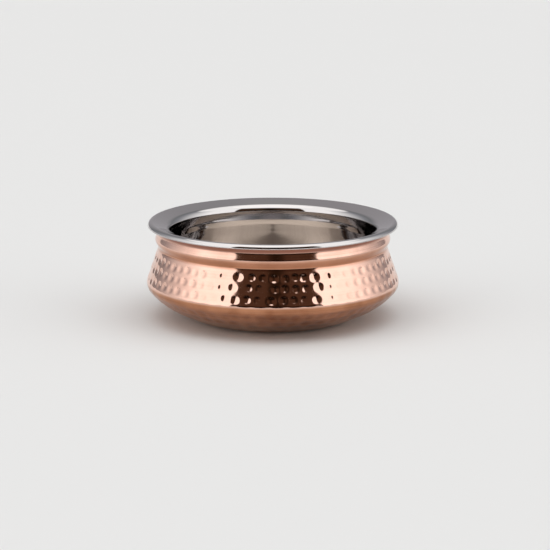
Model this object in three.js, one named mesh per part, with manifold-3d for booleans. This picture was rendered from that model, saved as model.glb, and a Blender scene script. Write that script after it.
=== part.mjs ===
// A double-walled handi, the round-bellied Indian serving pot.
// A drawn stainless-steel bowl hangs inside a hammered copper shell, with air between the two sheets.
// They meet only at the rim: the steel lip is turned down and folded back under the copper's flared edge.
// Millimetres, +Z up, origin at the centre of the flat base.
import * as THREE from "three";
import { mergeVertices } from "three/addons/utils/BufferGeometryUtils.js";
import Module from "manifold-3d";

// Sheets and the spaces between them
const steelGauge = 0.7;
const copperGauge = 0.8;
const baseGap = 5; // air between the two floors
const hemGap = 0.25; // between the lip and the copper edge that it covers

// Steel bowl, inside face
const throatRadius = 61.5;
const throatRound = 4.2;
const throatDepth = 11.9; // crown of the lip down to where the wall starts to widen
const throatFootRound = 1;
const undercut = 1.6; // how far the wall widens right below the throat
const undercutRadius = throatRadius + undercut;
const undercutFall = 3.5; // height of that widening
const wallFlare = 1.4; // how far the wall widens from there to its widest part
const wallRadius = undercutRadius + wallFlare;
const wallRise = 16; // floor to the widest part of the wall
const wallRound = 8;
const floorInset = 6.5; // from the widest part of the wall in to the edge of the floor
const floorRadius = wallRadius - floorInset;
const floorRound = 8;

// Copper shell, outside face
// The radius and height of a corner are where its two legs would meet without the rounding.
const baseInset = 11.45; // from the edge of the bowl's floor in to the base
const baseRadius = floorRadius - baseInset;
const baseRound = 23.7;
const flankSpace = 9; // from the edge of the bowl's floor out to the flank
const flankRadius = floorRadius + flankSpace;
const flankHeight = 9.35;
const flankRound = 45;
const bellySpace = 12.55; // from the wall of the bowl out to the belly
const bellyRadius = wallRadius + bellySpace;
const bellyHeight = 20.75;
const bellyRound = 7.3;
const neckSpace = 7.2; // from the throat of the bowl out to the waist
const waistRadius = throatRadius + neckSpace;
const waistRound = 1.8;
const beadStand = 2.15; // how far the bead above the waist stands out from it
const beadRadius = waistRadius + beadStand;
const beadRound = 3;
const coveLean = THREE.MathUtils.degToRad(18.5); // inwards, going up from the bead
const coveRound = 4;

// Rim
const lipWidth = 13.5; // from the throat out to the edge of the lip
const rimRadius = throatRadius + lipWidth;
const potHeight = 58.3; // base to the crown of the lip
const lipSlope = THREE.MathUtils.degToRad(18); // the lip falls inwards like a funnel
const crownRound = 2.35;
const hemFoldRound = 0.98;
const foldClearance = 0.2; // from the rounding of the cove to the folded edge
const foldDrop = 0.5; // from the copper's edge down to the fold under it
const flangeReach = 0.2; // how far the copper edge runs past the start of the crown

// Heights of the collar, measured down from the crown of the lip
const waistDrop = 14.95;
const beadDrop = 10.8;

// Hammer marks on the shoulder
const hammerPitch = 6.65; // around the waist
const hammerRowPitch = 6.55;
const hammerFirstRow = 4.5; // from the waist to the first row of marks
const hammerRadius = 2.7;
const hammerDepth = 0.38;
const hammerSides = 8;
const rowShift = 0.1; // of every second row, in shares of the pitch

// Fineness of the round stretches
// How far the straight steps that draw a rounding may lie from it
const copperChordGap = 0.15;
const steelChordGap = 0.1;
const hiddenChordGap = 0.65; // on the faces inside the double wall
const foursomes = Math.round((2 * Math.PI * waistRadius) / hammerPitch / 4);
const marksAround = 4 * foursomes; // the pot repeats every quarter turn
const facets = marksAround;

const wasm = await Module();
wasm.setup();

// Outlines: corners with their rounding, in the plane of radius and height

const corner = (radius, height, round = 0) => ({ at: new THREE.Vector2(radius, height), round });

// Where the line from a, along angleA, meets the line from b, along angleB.
function meeting(a, angleA, b, angleB) {
  const along = new THREE.Vector2(Math.cos(angleA), Math.sin(angleA));
  const other = new THREE.Vector2(Math.cos(angleB), Math.sin(angleB));
  const distance = b.clone().sub(a).cross(other) / along.cross(other);
  return a.clone().addScaledVector(along, distance);
}

const legAngle = (from, to) => to.at.clone().sub(from.at).angle();

// How far from a corner its rounding starts, and which way the outline turns there: 1 is left.
function rounding(before, here, after) {
  const back = before.at.clone().sub(here.at).normalize();
  const ahead = after.at.clone().sub(here.at).normalize();
  const half = (Math.PI - Math.acos(THREE.MathUtils.clamp(back.dot(ahead), -1, 1))) / 2;
  const side = Math.sign(ahead.cross(back));
  return { back, ahead, half, side, reach: here.round * Math.tan(half) };
}

// Roundings shrink where a leg is too short for the two at its ends.
function fitted(corners) {
  const ends = [0, corners.length - 1];
  const reaches = corners.map((here, i) =>
    ends.includes(i) ? 0 : rounding(corners[i - 1], here, corners[i + 1]).reach,
  );
  const room = (i, j) => corners[i].at.distanceTo(corners[j].at) / (reaches[i] + reaches[j]);
  return corners.map(({ at, round }, i) =>
    round === 0 ? { at, round } : { at, round: round * Math.min(1, room(i, i - 1), room(i, i + 1)) },
  );
}

// The parallel outline on the left, as the other face of a bent sheet: roundings keep their centres.
function beside(corners, distance) {
  const last = corners.length - 1;
  const shifted = (point, angle) =>
    point.clone().add(new THREE.Vector2(-Math.sin(angle), Math.cos(angle)).multiplyScalar(distance));
  return corners.map((here, i) => {
    const angleIn = legAngle(corners[Math.max(i - 1, 0)], corners[Math.max(i, 1)]);
    if (i === 0 || i === last) return { at: shifted(here.at, angleIn), round: 0 };
    const angleOut = legAngle(here, corners[i + 1]);
    const { side } = rounding(corners[i - 1], here, corners[i + 1]);
    return {
      at: meeting(shifted(here.at, angleIn), angleIn, shifted(here.at, angleOut), angleOut),
      round: here.round && Math.max(here.round - side * distance, 0),
    };
  });
}

// Points along an outline, with each rounding drawn as an arc of steps that stay within chordGap of it.
function outlinePoints(corners, chordGap) {
  const points = [corners[0].at.clone()];
  for (let i = 1; i < corners.length - 1; i += 1) {
    const here = corners[i];
    const { back, ahead, half, side, reach } = rounding(corners[i - 1], here, corners[i + 1]);
    if (here.round === 0) {
      points.push(here.at.clone());
      continue;
    }
    const start = here.at.clone().addScaledVector(back, reach);
    const end = here.at.clone().addScaledVector(ahead, reach);
    const toCentre = back.clone().add(ahead).normalize();
    const centre = here.at.clone().addScaledVector(toCentre, here.round / Math.cos(half));
    const from = start.clone().sub(centre).angle();
    const to = end.clone().sub(centre).angle();
    const arc = new THREE.EllipseCurve(centre.x, centre.y, here.round, here.round, from, to, side < 0);
    const step = 2 * Math.acos(1 - Math.min(chordGap / here.round, 1));
    points.push(...arc.getPoints(Math.ceil((2 * half) / step)));
  }
  points.push(corners[corners.length - 1].at.clone());
  return points;
}

// Solids

function turned(points, sides) {
  const geometry = new THREE.LatheGeometry(points, sides);
  geometry.rotateX(Math.PI / 2);
  geometry.deleteAttribute("normal");
  geometry.deleteAttribute("uv");
  return mergeVertices(geometry);
}

function solidOf(geometry) {
  const vertProperties = geometry.attributes.position.array;
  const triVerts = new Uint32Array(geometry.index.array);
  return new wasm.Manifold(new wasm.Mesh({ numProp: 3, vertProperties, triVerts }));
}

function geometryOf(solid) {
  const mesh = solid.getMesh();
  const geometry = new THREE.BufferGeometry();
  geometry.setAttribute("position", new THREE.BufferAttribute(mesh.vertProperties, 3));
  geometry.setIndex(new THREE.BufferAttribute(mesh.triVerts, 1));
  geometry.computeVertexNormals();
  return geometry;
}

// A bent sheet turned about the axis, from the corners of its outer face; the metal lies on their left.
function turnedSheet(outerCorners, gauge, outerChordGap, innerChordGap) {
  const outer = outlinePoints(outerCorners, outerChordGap);
  const inner = outlinePoints(beside(outerCorners, gauge), innerChordGap);
  return turned([...outer, ...inner.reverse()], facets);
}

// The lip: a cone that runs out to the rounded crown, then down to the fold

const crownCentre = new THREE.Vector2(rimRadius - crownRound, potHeight - crownRound);
const lipNormal = new THREE.Vector2(-Math.sin(lipSlope), Math.cos(lipSlope));
const lipPoint = (below) => crownCentre.clone().addScaledVector(lipNormal, crownRound - below);
const copperDepth = steelGauge + hemGap + copperGauge; // top of the lip to the underside of the copper
const upright = Math.PI / 2;

// Copper shell: base, flank, belly, shoulder, waist, bead, cove and the flange that the rim grips

function copperCorners() {
  const bead = new THREE.Vector2(beadRadius, potHeight - beadDrop);
  const flange = lipPoint(copperDepth);
  const cove = meeting(bead, upright + coveLean, flange, lipSlope);
  const along = new THREE.Vector2(Math.cos(lipSlope), Math.sin(lipSlope));
  const edge = flange.clone().addScaledVector(along, flangeReach);
  return fitted([
    corner(0, 0),
    corner(baseRadius, 0, baseRound),
    corner(flankRadius, flankHeight, flankRound),
    corner(bellyRadius, bellyHeight, bellyRound),
    corner(waistRadius, potHeight - waistDrop, waistRound),
    corner(bead.x, bead.y, beadRound),
    corner(cove.x, cove.y, coveRound),
    corner(edge.x, edge.y),
  ]);
}

// The punch that leaves one hammer mark: a blunt tip, pointing down, that widens past the mark's edge.
function hammerPunch() {
  const tip = new THREE.Vector2(0, -hammerDepth);
  const brim = new THREE.Vector2(2 * hammerRadius, hammerDepth);
  const top = new THREE.Vector2(0, hammerDepth);
  return solidOf(turned([tip, brim, top], hammerSides));
}

// Every mark stands square to the shoulder, and each row is set a little on from the last.
function hammerMarks([, , flank, belly, waist]) {
  const shoulder = belly.at.clone().sub(waist.at);
  const length = shoulder.length() - rounding(flank, belly, waist).reach;
  shoulder.normalize();
  const tilt = new THREE.Quaternion().setFromUnitVectors(
    new THREE.Vector3(0, 0, 1),
    new THREE.Vector3(-shoulder.y, 0, shoulder.x),
  );
  const flatOfFacet = Math.cos(Math.PI / facets);
  const punch = hammerPunch();
  const marks = [];
  for (let row = 0; hammerFirstRow + row * hammerRowPitch <= length; row += 1) {
    const centre = waist.at.clone().addScaledVector(shoulder, hammerFirstRow + row * hammerRowPitch);
    for (let mark = 0; mark < marksAround; mark += 1) {
      const angle = ((mark + 0.5 + (row % 2) * rowShift) * 2 * Math.PI) / marksAround;
      const place = new THREE.Matrix4().makeRotationZ(angle);
      const stand = new THREE.Matrix4().compose(
        new THREE.Vector3(centre.x * flatOfFacet, 0, centre.y),
        tilt,
        new THREE.Vector3(1, 1, 1),
      );
      marks.push(punch.transform(place.multiply(stand).toArray()));
    }
  }
  return marks;
}

function copperShell() {
  const corners = copperCorners();
  const sheet = solidOf(turnedSheet(corners, copperGauge, copperChordGap, hiddenChordGap));
  return geometryOf(hammerMarks(corners).reduce((shell, mark) => shell.subtract(mark), sheet));
}

// Steel bowl: floor, wall, undercut and throat, which opens into the lip

function steelBowl() {
  const outside = copperCorners();
  const floorHeight = copperGauge + baseGap + steelGauge;
  const throatFoot = new THREE.Vector2(throatRadius, potHeight - throatDepth);
  const throatTop = meeting(throatFoot, upright, lipPoint(0), lipSlope);
  const crown = meeting(new THREE.Vector2(rimRadius, 0), upright, lipPoint(0), lipSlope);
  const [bead, cove, edge] = outside.slice(-3);
  const { ahead, reach } = rounding(bead, cove, edge);
  const gripped = cove.at.clone().addScaledVector(ahead, reach + foldClearance);
  const foldHeight = gripped.y - foldDrop - steelGauge;
  const insideCorners = fitted([
    corner(0, floorHeight),
    corner(floorRadius, floorHeight, floorRound),
    corner(wallRadius, floorHeight + wallRise, wallRound),
    corner(undercutRadius, throatFoot.y - undercutFall),
    corner(throatFoot.x, throatFoot.y, throatFootRound),
    corner(throatTop.x, throatTop.y, throatRound),
    corner(crown.x, crown.y, crownRound),
    corner(rimRadius, foldHeight, hemFoldRound),
    corner(gripped.x, foldHeight),
  ]);
  return turnedSheet(beside(insideCorners, -steelGauge), steelGauge, hiddenChordGap, steelChordGap);
}

// The assembled pot

const steel = new THREE.MeshStandardMaterial({ color: 0xb9b7b4, roughness: 0.14, metalness: 1 });
const copper = new THREE.MeshStandardMaterial({ color: 0xd98d68, roughness: 0.18, metalness: 1 });

function piece(name, geometry, material) {
  const mesh = new THREE.Mesh(geometry, material);
  mesh.name = name;
  return mesh;
}

const handi = new THREE.Group();
handi.add(piece("outer_copper_shell", copperShell(), copper));
handi.add(piece("inner_steel_bowl", steelBowl(), steel));

export default handi;
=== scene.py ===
import math
import random

import bmesh
import bpy
import numpy as np
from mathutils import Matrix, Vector, kdtree


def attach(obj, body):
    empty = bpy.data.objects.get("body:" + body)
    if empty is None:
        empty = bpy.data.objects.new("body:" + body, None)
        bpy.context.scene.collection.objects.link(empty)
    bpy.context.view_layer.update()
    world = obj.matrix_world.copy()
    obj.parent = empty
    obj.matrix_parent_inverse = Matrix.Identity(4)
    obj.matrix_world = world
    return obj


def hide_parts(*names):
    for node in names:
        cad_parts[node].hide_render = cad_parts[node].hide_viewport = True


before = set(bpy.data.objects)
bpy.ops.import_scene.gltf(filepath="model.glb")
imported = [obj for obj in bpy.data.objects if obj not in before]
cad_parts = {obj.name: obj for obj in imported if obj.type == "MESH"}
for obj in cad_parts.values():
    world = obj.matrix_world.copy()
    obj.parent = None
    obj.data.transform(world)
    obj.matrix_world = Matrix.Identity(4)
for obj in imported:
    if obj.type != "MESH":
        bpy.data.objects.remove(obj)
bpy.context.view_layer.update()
mm = 0.001
upright = math.pi / 2
print("frame loaded:", sorted(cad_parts))

# sizes that both sheets share, in millimetres
pot = {
    "height": 58.27,  # base to the crown of the lip
    "rimRadius": 75.0,
    "lipSlope": math.radians(18),  # the lip falls inwards like a funnel
    "crownRound": 2.35,
    "steelGauge": 0.7,
    "copperGauge": 0.8,
    "hemGap": 0.25,  # between the lip and the copper edge under it
}


# outline tools: a corner is its radius, height and rounding,
# then the row spacing of the leg up to it and of the rounding

def turnAt(before, here, after):
    back = (Vector(before[:2]) - Vector(here[:2])).normalized()
    ahead = (Vector(after[:2]) - Vector(here[:2])).normalized()
    half = (math.pi - back.angle(ahead)) / 2
    side = math.copysign(1, back.y * ahead.x - back.x * ahead.y)  # 1 turns left
    return back, ahead, half, side


def crossing(a, angleA, b, angleB):
    u = Vector((math.cos(angleA), math.sin(angleA)))
    v = Vector((math.cos(angleB), math.sin(angleB)))
    gap = Vector(b) - Vector(a)
    return Vector(a) + u * ((gap.x * v.y - gap.y * v.x) / (u.x * v.y - u.y * v.x))


def otherFace(corners, gauge):  # the parallel outline on the left, roundings keep their centres
    moved = []
    for i, here in enumerate(corners):
        legs = [k for k in (i, i + 1) if 0 < k < len(corners)]
        lines = []
        for k in legs:
            leg = Vector(corners[k][:2]) - Vector(corners[k - 1][:2])
            angle = math.atan2(leg.y, leg.x)
            lines += [Vector(here[:2]) + Vector((-math.sin(angle), math.cos(angle))) * gauge, angle]
        if len(legs) == 1:
            moved.append((lines[0].x, lines[0].y, 0))
            continue
        at = crossing(*lines)
        side = turnAt(corners[i - 1], here, corners[i + 1])[3]
        moved.append((at.x, at.y, max(here[2] - side * gauge, 0) if here[2] else 0))
    return moved


def outlinePoints(corners, coarse=None):
    points = [Vector(corners[0][:2])]

    def runTo(end, spacing):
        start = points[-1]
        cuts = max(1, math.ceil((end - start).length / spacing))
        points.extend(start.lerp(end, k / cuts) for k in range(1, cuts + 1))

    for before, here, after in zip(corners, corners[1:], corners[2:]):
        legStep, arcStep = here[3:] if coarse is None else (coarse, coarse)
        corner = Vector(here[:2])
        back, ahead, half, side = turnAt(before, here, after)
        if here[2] == 0:
            runTo(corner, legStep)
            continue
        runTo(corner + back * here[2] * math.tan(half), legStep)
        centre = corner + (back + ahead).normalized() * here[2] / math.cos(half)
        spoke = points[-1] - centre
        steps = max(2, math.ceil(2 * half * here[2] / arcStep))
        for k in range(1, steps + 1):
            turn = side * 2 * half * k / steps
            points.append(centre + Vector((
                spoke.x * math.cos(turn) - spoke.y * math.sin(turn),
                spoke.x * math.sin(turn) + spoke.y * math.cos(turn))))
    runTo(Vector(corners[-1][:2]), corners[-1][3] if coarse is None else coarse)
    return points


def spinOutline(name, points, steps):
    bpy.ops.object.select_all(action="DESELECT")
    bpy.ops.mesh.primitive_plane_add(size=mm)
    piece = bpy.context.object
    piece.name = piece.data.name = name
    bpy.ops.object.mode_set(mode="EDIT")
    bpy.ops.mesh.select_mode(type="VERT")
    bpy.ops.mesh.select_all(action="SELECT")
    bpy.ops.mesh.merge(type="CENTER")
    bpy.ops.transform.translate(value=(points[0].x * mm, 0, points[0].y * mm))
    for here, after in zip(points, points[1:]):
        step = (after - here) * mm
        bpy.ops.mesh.extrude_region_move(TRANSFORM_OT_translate={"value": (step.x, 0, step.y)})
    bpy.ops.mesh.select_all(action="SELECT")
    bpy.ops.mesh.spin(steps=steps, angle=2 * math.pi, center=(0, 0, 0), axis=(0, 0, 1))
    bpy.ops.mesh.select_all(action="SELECT")
    bpy.ops.mesh.remove_doubles(threshold=0.01 * mm)
    bpy.ops.mesh.normals_make_consistent(inside=False)
    bpy.ops.object.mode_set(mode="OBJECT")
    bpy.ops.object.shade_smooth()
    return piece


# the lip as both sheets see it
crownCentre = Vector((pot["rimRadius"] - pot["crownRound"], pot["height"] - pot["crownRound"]))
lipNormal = Vector((-math.sin(pot["lipSlope"]), math.cos(pot["lipSlope"])))
lipAlong = Vector((math.cos(pot["lipSlope"]), math.sin(pot["lipSlope"])))


def lipPoint(below):
    return crownCentre + lipNormal * (pot["crownRound"] - below)


# copper shell
copperShell = {
    "base": (46.55, 0, 23.7, 60, 1.2),
    "flank": (67.0, 9.35, 45, 1.5, 1.5),
    "belly": (76.82, 19.7, 6.2, 1.0, 0.6),
    "waist": (68.6, 43.32, 1.8, 0.42, 0.3),
    "bead": (70.85, 47.47, 3, 0.4, 0.35),
    "coveLean": math.radians(18.5),
    "cove": (4, 0.5, 0.45),
    "edgeReach": 0.2,
    "edgeRows": 0.6,
    "hiddenRows": 9,  # the inside is never seen
    "steps": 620,
}

# rows of hammer marks: the shoulder's are deep, and the flank's only flatten the sheet here and there
# "front" are the marks seen from the front, in degrees to the right; the rest follow at the pitch
hammerRows = [
    {"height": 38.2, "pitch": 6.5, "radius": 2.55, "depth": 0.45,
     "front": (-23.8, -16.5, -9.9, -4.7, 0.8, 5.8, 10.2, 14.6, 19.5, 26.3)},
    {"height": 32.05, "pitch": 6.7, "radius": 2.55, "depth": 0.41,
     "front": (-18.7, -10.9, -6.3, 1.3, 5.4, 10.4, 15.3, 21.2, 26.3)},
    {"height": 25.85, "pitch": 6.9, "radius": 2.55, "depth": 0.41,
     "front": (-21.4, -16.8, -11.4, -6.7, -0.7, 4.8, 9.4, 13.7, 19.6, 25.9)},
    {"height": 19.4, "pitch": 9.5, "radius": 3.4, "depth": 0.12, "front": (-2, 6)},
    {"height": 14.6, "pitch": 7.2, "radius": 3.2, "depth": 0.27, "front": (0, 5)},
    {"height": 10.2, "pitch": 8.4, "radius": 3.6, "depth": 0.31, "front": (2, 9)},
    {"height": 6.2, "pitch": 9.0, "radius": 4.0, "depth": 0.34, "front": (-3, 4)},
    {"height": 2.6, "pitch": 9.4, "radius": 4.0, "depth": 0.29, "front": (0, 8)},
]
hammer = {
    "wander": 0.45,  # how far a mark strays from its place
    "rise": 0.7,  # share of that by which it strays up or down
    "sizes": ((0.93, 0.85), (1.0, 1.0), (1.07, 1.12)),  # a light, an even and a heavy blow: width, depth
    "seed": 11,
    "shoulder": (23.5, 41.3),  # lowest and highest point of the deep marks
    "wornRims": 3,  # rounds of smoothing on their rims
    "rimWear": 0.5,
    "fullDepth": 0.3,  # beaten in this far, the hollow keeps all its tarnish
    "inside": 30,  # height of a point that all of the outside faces away from
}


def copperCorners():
    c = copperShell
    flange = lipPoint(pot["steelGauge"] + pot["hemGap"] + pot["copperGauge"])
    cove = crossing(c["bead"][:2], upright + c["coveLean"], flange, pot["lipSlope"])
    edge = flange + lipAlong * c["edgeReach"]
    return [(0, 0, 0), c["base"], c["flank"], c["belly"], c["waist"], c["bead"],
            (cove.x, cove.y) + c["cove"], (edge.x, edge.y, 0, c["edgeRows"])]


def makeCopperShell():
    corners = copperCorners()
    outer = outlinePoints(corners)
    inner = outlinePoints(otherFace(corners, pot["copperGauge"]), copperShell["hiddenRows"])
    return spinOutline("hammered_copper_shell", outer + inner[::-1], copperShell["steps"]), outer


def outlineAt(outline, height):
    for low, high in zip(outline, outline[1:]):
        if low.y <= height < high.y:
            return low.lerp(high, (height - low.y) / (high.y - low.y))


def hammerBlows(outline):
    rng = random.Random(hammer["seed"])
    blows = {}
    for row in hammerRows:
        radius = outlineAt(outline, row["height"]).x
        angles = list(row["front"])
        rest = angles[0] + 360 - angles[-1]
        gaps = round(math.radians(rest) * radius / row["pitch"])
        stray = math.degrees(hammer["wander"] / radius)
        angles += [angles[-1] + rest * k / gaps + rng.uniform(-stray, stray) for k in range(1, gaps)]
        for angle in angles:
            rise = rng.uniform(-hammer["rise"], hammer["rise"]) * hammer["wander"]
            spot = outlineAt(outline, row["height"] + rise)
            turn = math.radians(angle)
            place = Vector((spot.x * math.sin(turn), -spot.x * math.cos(turn), spot.y)) * mm
            wide, deep = rng.choice(hammer["sizes"])
            blows.setdefault((row["radius"] * wide, row["depth"] * deep), []).append(place)
    return blows


def hammerCopper(piece, outline):
    middle = Vector((0, 0, hammer["inside"])) * mm
    verts = piece.data.vertices
    outside = {v.index for v in verts if v.normal.dot(v.co - middle) > 0}
    tree = kdtree.KDTree(len(outside))
    for i in outside:
        tree.insert(verts[i].co, i)
    tree.balance()
    smooth = np.empty(len(verts) * 3)
    verts.foreach_get("co", smooth)
    blows = {size: [tree.find(p)[1] for p in places] for size, places in hammerBlows(outline).items()}

    # the inside of the sheet is hidden, so that the blows leave it alone
    bpy.context.view_layer.objects.active = piece
    bpy.ops.object.mode_set(mode="EDIT")
    bpy.ops.mesh.select_all(action="DESELECT")
    mesh = bmesh.from_edit_mesh(piece.data)
    for v in mesh.verts:
        v.select_set(v.index not in outside)
    bmesh.update_edit_mesh(piece.data)
    bpy.ops.mesh.hide(unselected=False)
    for (radius, depth), spots in sorted(blows.items()):
        bpy.ops.mesh.select_all(action="DESELECT")
        mesh = bmesh.from_edit_mesh(piece.data)
        mesh.verts.ensure_lookup_table()
        for spot in spots:
            mesh.verts[spot].select_set(True)
        bmesh.update_edit_mesh(piece.data)
        bpy.ops.transform.shrink_fatten(
            value=-depth * mm,
            use_proportional_edit=True,
            proportional_edit_falloff="INVERSE_SQUARE",
            proportional_size=radius * mm,
        )

    # polishing wore the rims of the deep marks round
    bpy.ops.mesh.select_all(action="DESELECT")
    mesh = bmesh.from_edit_mesh(piece.data)
    low, high = (level * mm for level in hammer["shoulder"])
    for v in mesh.verts:
        if not v.hide and low < v.co.z < high:
            v.select_set(True)
    bmesh.update_edit_mesh(piece.data)
    bpy.ops.mesh.vertices_smooth(factor=hammer["rimWear"], repeat=hammer["wornRims"])
    bpy.ops.mesh.reveal(select=False)
    bpy.ops.object.mode_set(mode="OBJECT")

    # how deep each point was beaten in, for the finish
    beaten = np.empty(len(verts) * 3)
    piece.data.vertices.foreach_get("co", beaten)
    share = np.linalg.norm((beaten - smooth).reshape(-1, 3), axis=1) / (hammer["fullDepth"] * mm)
    piece.data.attributes.new("beaten", "FLOAT", "POINT").data.foreach_set("value", np.clip(share, 0, 1))


# steel bowl
steelBowl = {
    "floor": (58.0, 6.5, 8, 60, 0.8),
    "wall": (65.25, 26.5, 8, 4, 0.8),
    "undercut": (63.1, 42.9, 1.2, 4, 0.25),  # the wall widens sharply right below the throat
    "throatFoot": (61.5, 46.4, 1, 2, 0.25),
    "throat": (4.4, 2, 0.2),
    "lip": (4, 0.15),
    "fold": (0.6, 1, 0.1),
    "foldClearance": 0.2,
    "foldDrop": 0.25,  # from the copper's edge down to the fold under it
    "foldRows": 2,
    "hiddenRows": 6,  # the face towards the copper is never seen
    "steps": 512,
}


def makeSteelBowl():
    c = steelBowl
    outside = copperCorners()
    throatTop = crossing(c["throatFoot"][:2], upright, lipPoint(0), pot["lipSlope"])
    crown = crossing((pot["rimRadius"], 0), upright, lipPoint(0), pot["lipSlope"])
    ahead, half = turnAt(*outside[-3:])[1:3]
    gripped = Vector(outside[-2][:2]) + ahead * (outside[-2][2] * math.tan(half) + c["foldClearance"])
    foldHeight = gripped.y - c["foldDrop"] - pot["steelGauge"]
    corners = [
        (0, c["floor"][1], 0),
        c["floor"],
        c["wall"],
        c["undercut"],
        c["throatFoot"],
        (throatTop.x, throatTop.y) + c["throat"],
        (crown.x, crown.y, pot["crownRound"]) + c["lip"],
        (pot["rimRadius"], foldHeight) + c["fold"],
        (gripped.x, foldHeight, 0, c["foldRows"]),
    ]
    seen = outlinePoints(corners)
    hidden = outlinePoints(otherFace(corners, -pot["steelGauge"]), c["hiddenRows"])
    return spinOutline("polished_steel_bowl", hidden + seen[::-1], c["steps"])


# materials

def linear(hexColour):
    parts = [int(hexColour[i:i + 2], 16) / 255 for i in (1, 3, 5)]
    return tuple(p / 12.92 if p <= 0.04045 else ((p + 0.055) / 1.055) ** 2.4 for p in parts) + (1,)


def addNode(tree, kind, inputs=None, **settings):
    node = tree.nodes.new(kind)
    for key, value in settings.items():
        setattr(node, key, value)
    for key, value in (inputs or {}).items():
        if isinstance(value, bpy.types.NodeSocket):
            tree.links.new(value, node.inputs[key])
        else:
            node.inputs[key].default_value = value
    return node


def newMaterial(name):
    material = bpy.data.materials.new(name)
    material.use_nodes = True
    tree = material.node_tree
    return material, tree, tree.nodes["Principled BSDF"]


def setStops(node, stops):
    elements = node.color_ramp.elements
    while len(elements) < len(stops):
        elements.new(0.5)
    for element, (position, colour) in zip(elements, stops):
        element.position = position
        element.color = colour


# copper by height: its colour, and how much tarnish the buff left on it; the colour also carries painted
# shade, darker under the belly's turn, in the waist, under the bead and under the lip, and painted light,
# paler towards the base
copperWearAndPaintedShading = (
    # painted light: the lowest stops are paler to lift the base against the floor's contact shadow
    (3, "#ebc8b1", 0.38),
    (6, "#e3b99e", 0.43),
    # under the belly's turn: partly real tarnish where the buff didn't reach, partly painted shade for the
    # shaded floor it reflects
    (12.5, "#d8a080", 0.55),
    (16.5, "#cd9372", 0.6),
    (20.8, "#c68d6a", 0.45),
    (21.9, "#f3c7b4", 0.12),
    (41.5, "#f3c7b4", 0.12),
    # the waist and the bead's underside: partly tarnish kept in the crease, partly painted shade
    (43.5, "#c58868", 0.4),
    (46.5, "#cf9678", 0.4),
    (48.3, "#f3c7b4", 0.3),
    (51.3, "#f3c7b4", 0.3),
    # painted shade: under the lip the copper is painted darker
    (53, "#9a6b5d", 0.4),
)
copperFinish = {
    "tarnish": "#8f5a3e",
    "patch": 22,  # a patch of tarnish is this wide, in millimetres
    "patchEdge": (0.38, 0.68),
    "hollowShare": 0.5,  # what the hollow of a mark adds
    "lineLength": 40,
    "lineStretch": 40,  # turning lines run round the shell, drawn 1 mm apart to show
    "lineEdge": (0.45, 0.7),
    "lineShare": 0.5,
    "smear": 5,  # wiping marks, in millimetres
    "smearEdge": (0.3, 0.75),
    "buffedRough": (0.06, 0.12),
    "unbuffedRough": 0.15,  # added where the buff didn't reach
    "unbuffed": (21, 14),  # heights between which the buffing fades out
    "wave": 15,  # uneven sheet, in millimetres from crest to crest
    "waveDepth": 0.06,
    "gritDepth": 0.004,
}
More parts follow.
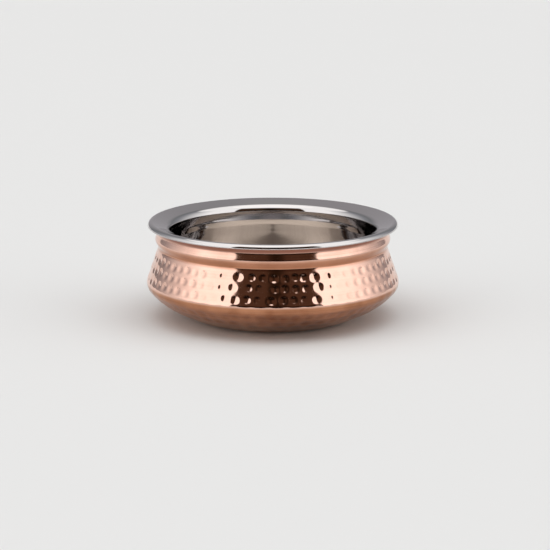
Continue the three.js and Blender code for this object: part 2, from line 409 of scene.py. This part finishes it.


# hammered copper: buffed to a pale pink mirror on the shoulder, browner in its hollows, and browner under
# the belly, in the waist and under the lip partly from painted shade
def makeCopper():
    c = copperFinish
    material, tree, shader = newMaterial("hammered buffed copper")
    place = addNode(tree, "ShaderNodeTexCoord").outputs["Object"]
    height = addNode(tree, "ShaderNodeSeparateXYZ", {0: place}).outputs["Z"]
    share = addNode(tree, "ShaderNodeMapRange", {"Value": height, "From Max": pot["height"] * mm})
    # this ramp by height carries the painted shade and painted light of the table above
    metal = addNode(tree, "ShaderNodeValToRGB", {0: share.outputs["Result"]})
    setStops(metal, [
        (level / pot["height"], linear(tint)[:3] + (left,)) for level, tint, left in copperWearAndPaintedShading])

    # tarnish stays in patches, in the hollows and along the turning lines
    cloud = addNode(tree, "ShaderNodeTexNoise", {
        "Vector": place, "Scale": 1 / (c["patch"] * mm), "Detail": 4, "Roughness": 0.6})
    patchy = addNode(tree, "ShaderNodeMapRange", {
        "Value": cloud.outputs["Fac"], "From Min": c["patchEdge"][0], "From Max": c["patchEdge"][1]})
    beaten = addNode(tree, "ShaderNodeAttribute", attribute_name="beaten").outputs["Fac"]
    hollow = addNode(tree, "ShaderNodeMath", {
        0: beaten, 1: c["hollowShare"], 2: patchy.outputs["Result"]}, operation="MULTIPLY_ADD")
    streak = addNode(tree, "ShaderNodeVectorMath", {
        0: place, 1: (1, 1, c["lineStretch"])}, operation="MULTIPLY")
    lines = addNode(tree, "ShaderNodeTexNoise", {
        "Vector": streak.outputs[0], "Scale": 1 / (c["lineLength"] * mm), "Detail": 3})
    turned = addNode(tree, "ShaderNodeMapRange", {
        "Value": lines.outputs["Fac"], "From Min": c["lineEdge"][0], "From Max": c["lineEdge"][1],
        "To Max": c["lineShare"]})
    dull = addNode(tree, "ShaderNodeMath", {0: hollow.outputs[0], 1: turned.outputs["Result"]})
    tarnish = addNode(tree, "ShaderNodeMath", {
        0: dull.outputs[0], 1: metal.outputs["Alpha"]}, operation="MULTIPLY", use_clamp=True)
    colour = addNode(tree, "ShaderNodeMix", {
        0: tarnish.outputs[0], 6: metal.outputs["Color"], 7: linear(c["tarnish"])}, data_type="RGBA")
    tree.links.new(colour.outputs[2], shader.inputs["Base Color"])
    shader.inputs["Metallic"].default_value = 1

    smear = addNode(tree, "ShaderNodeTexNoise", {
        "Vector": place, "Scale": 1 / (c["smear"] * mm), "Detail": 5, "Roughness": 0.65})
    gloss = addNode(tree, "ShaderNodeMapRange", {
        "Value": smear.outputs["Fac"], "From Min": c["smearEdge"][0], "From Max": c["smearEdge"][1],
        "To Min": c["buffedRough"][0], "To Max": c["buffedRough"][1]})
    unbuffed = addNode(tree, "ShaderNodeMapRange", {
        "Value": height, "From Min": c["unbuffed"][0] * mm, "From Max": c["unbuffed"][1] * mm,
        "To Max": c["unbuffedRough"]}, interpolation_type="SMOOTHSTEP")
    rough = addNode(tree, "ShaderNodeMath", {0: gloss.outputs["Result"], 1: unbuffed.outputs["Result"]})
    tree.links.new(rough.outputs[0], shader.inputs["Roughness"])

    waves = addNode(tree, "ShaderNodeTexNoise", {
        "Vector": place, "Scale": 1 / (c["wave"] * mm), "Detail": 1.5})
    uneven = addNode(tree, "ShaderNodeBump", {
        "Strength": 0.6, "Distance": c["waveDepth"] * mm, "Height": waves.outputs["Fac"]})
    grit = addNode(tree, "ShaderNodeBump", {
        "Strength": 0.5, "Distance": c["gritDepth"] * mm, "Height": smear.outputs["Fac"],
        "Normal": uneven.outputs["Normal"]})
    tree.links.new(grit.outputs["Normal"], shader.inputs["Normal"])
    return material


steelFinish = {
    "mirrorTint": "#c9c5c4",
    # the satin tints are tan beyond the steel's own grey: a painted reflection of warm light from the room
    "satinTintsWithPaintedWarmBounce": ("#d2c3b4", "#e6d7c8"),
    "satinEdge": (54.5, 53.5),  # radii between which the polish gives way to the ground floor
    "ring": 0.8,  # turning lines, drawn 0.8 mm apart to show
    "ringEdge": (0.3, 0.7),
    "ringTintEdge": (0.35, 0.65),
    "mirrorRough": (0.04, 0.08),
    "satinRough": (0.36, 0.46),
    "satinSpread": 0.75,  # the grinding spreads a reflection across its rings
    "ringDepth": 0.004,
}


# drawn stainless steel: lip, throat and wall polished like a mirror, floor ground in rings to a pale
# satin, tinted tan beyond the steel's own grey as a painted reflection of warm light bounced from the room
def makeSteel():
    c = steelFinish
    material, tree, shader = newMaterial("polished stainless steel")
    place = addNode(tree, "ShaderNodeTexCoord").outputs["Object"]
    flat = addNode(tree, "ShaderNodeVectorMath", {0: place, 1: (1, 1, 0)}, operation="MULTIPLY")
    length = addNode(tree, "ShaderNodeVectorMath", {0: flat.outputs[0]}, operation="LENGTH")
    radius = length.outputs["Value"]
    height = addNode(tree, "ShaderNodeSeparateXYZ", {0: place}).outputs["Z"]
    ring = addNode(tree, "ShaderNodeCombineXYZ", {0: radius, 1: height})
    lines = addNode(tree, "ShaderNodeTexNoise", {
        "Vector": ring.outputs[0], "Scale": 1 / (c["ring"] * mm), "Detail": 3})
    satin = addNode(tree, "ShaderNodeMapRange", {
        "Value": radius, "From Min": c["satinEdge"][0] * mm, "From Max": c["satinEdge"][1] * mm},
        interpolation_type="SMOOTHSTEP")
    rings = addNode(tree, "ShaderNodeMapRange", {
        "Value": lines.outputs["Fac"], "From Min": c["ringTintEdge"][0], "From Max": c["ringTintEdge"][1]})
    # the two satin tints carry the painted warm reflection
    ground = addNode(tree, "ShaderNodeMix", {
        0: rings.outputs["Result"], 6: linear(c["satinTintsWithPaintedWarmBounce"][0]), 7: linear(c["satinTintsWithPaintedWarmBounce"][1])},
        data_type="RGBA")
    colour = addNode(tree, "ShaderNodeMix", {
        0: satin.outputs["Result"], 6: linear(c["mirrorTint"]), 7: ground.outputs[2]}, data_type="RGBA")
    tree.links.new(colour.outputs[2], shader.inputs["Base Color"])
    shader.inputs["Metallic"].default_value = 1

    mirrorRough, satinRough = (
        addNode(tree, "ShaderNodeMapRange", {
            "Value": lines.outputs["Fac"], "From Min": c["ringEdge"][0], "From Max": c["ringEdge"][1],
            "To Min": c[finish][0], "To Max": c[finish][1]})
        for finish in ("mirrorRough", "satinRough"))
    rough = addNode(tree, "ShaderNodeMix", {
        0: satin.outputs["Result"], 2: mirrorRough.outputs["Result"], 3: satinRough.outputs["Result"]},
        data_type="FLOAT")
    tree.links.new(rough.outputs[0], shader.inputs["Roughness"])
    spread = addNode(tree, "ShaderNodeMath", {
        0: satin.outputs["Result"], 1: c["satinSpread"]}, operation="MULTIPLY")
    tree.links.new(spread.outputs[0], shader.inputs["Anisotropic"])
    around = addNode(tree, "ShaderNodeTangent", direction_type="RADIAL", axis="Z")
    tree.links.new(around.outputs[0], shader.inputs["Tangent"])

    turned = addNode(tree, "ShaderNodeBump", {
        "Strength": 0.4, "Distance": c["ringDepth"] * mm, "Height": lines.outputs["Fac"]})
    tree.links.new(turned.outputs["Normal"], shader.inputs["Normal"])
    return material


# studio: a pale tent, open towards a dark room behind the camera
studio = {
    "aim": (0, 0, 28 * mm),
    "distance": 1.3,
    "elevation": math.radians(12.48),
    "lens": 141.09,
    "shift": (0.004, -0.0106),
    "tentLight": 1.45,
    "opening": math.radians(3.5),  # azimuth of the middle of the opening, to the camera's right
    # colours by the cosine of the azimuth from the opening
    "wall": (
        (-1, "#8e8c8f"), (-0.86, "#717376"), (-0.67, "#86888d"), (0.26, "#ffffff"), (0.752, "#ffffff")),
    "room": ((0.771, "#402f24"), (0.988, "#402f24"), (0.996, "#22170e")),
    "roomDark": "#120a06",
    "roomFloor": (0.31, 0.14),  # sine of the elevation below which the room is darker still
    "wallTop": (0.70, 0.74),  # sine of the elevation where the wall ends
    "roofEnd": (0.4, 0.62),  # how far back the lit part of the roof goes
    "ceiling": 0.27,
    "scrimStrength": 0.1,
    "scrimTint": "#fff6ee",
    "scrimWidth": math.radians(51),  # as seen from the pot
    "scrimLean": math.radians(8.5),
    "floorSize": 24,
    "floorTint": "#e6e6e5",
    "floorRough": 0.9,
    "floorGloss": 0.1,
}


def makeCamera():
    bpy.ops.object.camera_add()
    camera = bpy.context.object
    camera.name = "photo_camera"
    back = Vector((0, -math.cos(studio["elevation"]), math.sin(studio["elevation"])))
    camera.location = Vector(studio["aim"]) + back * studio["distance"]
    camera.rotation_euler = (-back).to_track_quat("-Z", "Y").to_euler()
    camera.data.lens = studio["lens"]
    camera.data.sensor_width = 36
    camera.data.shift_x, camera.data.shift_y = studio["shift"]
    camera.data.clip_end = 60
    bpy.context.scene.camera = camera


def makeLights():
    bpy.ops.object.light_add(type="SUN", location=(0, -0.5, 2), rotation=(studio["scrimLean"], 0, 0))
    lamp = bpy.context.object
    lamp.name = "overhead_scrim"
    lamp.data.angle = studio["scrimWidth"]
    lamp.data.energy = studio["scrimStrength"]
    lamp.data.color = linear(studio["scrimTint"])[:3]


def makeWorld():
    s = studio
    world = bpy.context.scene.world or bpy.data.worlds.new("studio")
    bpy.context.scene.world = world
    world.use_nodes = True
    tree = world.node_tree
    place = addNode(tree, "ShaderNodeTexCoord").outputs["Generated"]
    axes = addNode(tree, "ShaderNodeSeparateXYZ", {0: place})

    # the wall and the room by azimuth
    level = addNode(tree, "ShaderNodeVectorMath", {0: place, 1: (1, 1, 0)}, operation="MULTIPLY")
    way = addNode(tree, "ShaderNodeVectorMath", {0: level.outputs[0]}, operation="NORMALIZE")
    opening = (math.sin(s["opening"]), -math.cos(s["opening"]), 0)
    turn = addNode(tree, "ShaderNodeVectorMath", {0: way.outputs[0], 1: opening}, operation="DOT_PRODUCT")
    share = addNode(tree, "ShaderNodeMapRange", {"Value": turn.outputs["Value"], "From Min": -1})
    wall = addNode(tree, "ShaderNodeValToRGB", {0: share.outputs["Result"]})
    setStops(wall, [((cosine + 1) / 2, linear(tint)) for cosine, tint in s["wall"] + s["room"]])

    # the room's dark floor
    inRoom = addNode(tree, "ShaderNodeMapRange", {
        "Value": turn.outputs["Value"], "From Min": s["wall"][-1][0], "From Max": s["room"][0][0]})
    low = addNode(tree, "ShaderNodeMapRange", {
        "Value": axes.outputs["Z"], "From Min": s["roomFloor"][0], "From Max": s["roomFloor"][1]})
    dark = addNode(tree, "ShaderNodeMath", {
        0: low.outputs["Result"], 1: inRoom.outputs["Result"]}, operation="MULTIPLY")
    around = addNode(tree, "ShaderNodeMix", {
        0: dark.outputs[0], 6: wall.outputs[0], 7: linear(s["roomDark"])}, data_type="RGBA")

    # the roof, lit above the pot and in front of it
    roof = addNode(tree, "ShaderNodeMapRange", {
        "Value": axes.outputs["Y"], "From Min": s["roofEnd"][0], "From Max": s["roofEnd"][1],
        "To Min": 1, "To Max": s["ceiling"]}, interpolation_type="SMOOTHSTEP")
    above = addNode(tree, "ShaderNodeMapRange", {
        "Value": axes.outputs["Z"], "From Min": s["wallTop"][0], "From Max": s["wallTop"][1]})
    tent = addNode(tree, "ShaderNodeMix", {
        0: above.outputs["Result"], 6: around.outputs[2], 7: roof.outputs["Result"]}, data_type="RGBA")
    tree.links.new(tent.outputs[2], tree.nodes["Background"].inputs["Color"])
    tree.nodes["Background"].inputs["Strength"].default_value = s["tentLight"]


def makeFloor():
    bpy.ops.object.select_all(action="DESELECT")
    bpy.ops.mesh.primitive_plane_add(size=studio["floorSize"])
    floor = bpy.context.object
    floor.name = "pale_floor"
    material, tree, shader = newMaterial("pale paper sweep")
    shader.inputs["Base Color"].default_value = linear(studio["floorTint"])
    shader.inputs["Roughness"].default_value = studio["floorRough"]
    shader.inputs["Specular IOR Level"].default_value = studio["floorGloss"]
    floor.data.materials.append(material)


copper, copperOutline = makeCopperShell()
hammerCopper(copper, copperOutline)
copper.data.materials.append(makeCopper())
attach(copper, "root")
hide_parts("outer_copper_shell")
print("copper shell:", len(copper.data.polygons), "faces")

steel = makeSteelBowl()
steel.data.materials.append(makeSteel())
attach(steel, "root")
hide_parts("inner_steel_bowl")
print("steel bowl:", len(steel.data.polygons), "faces")

makeFloor()
makeWorld()
makeLights()
makeCamera()
bpy.context.scene.view_settings.view_transform = "Standard"
print("studio set")
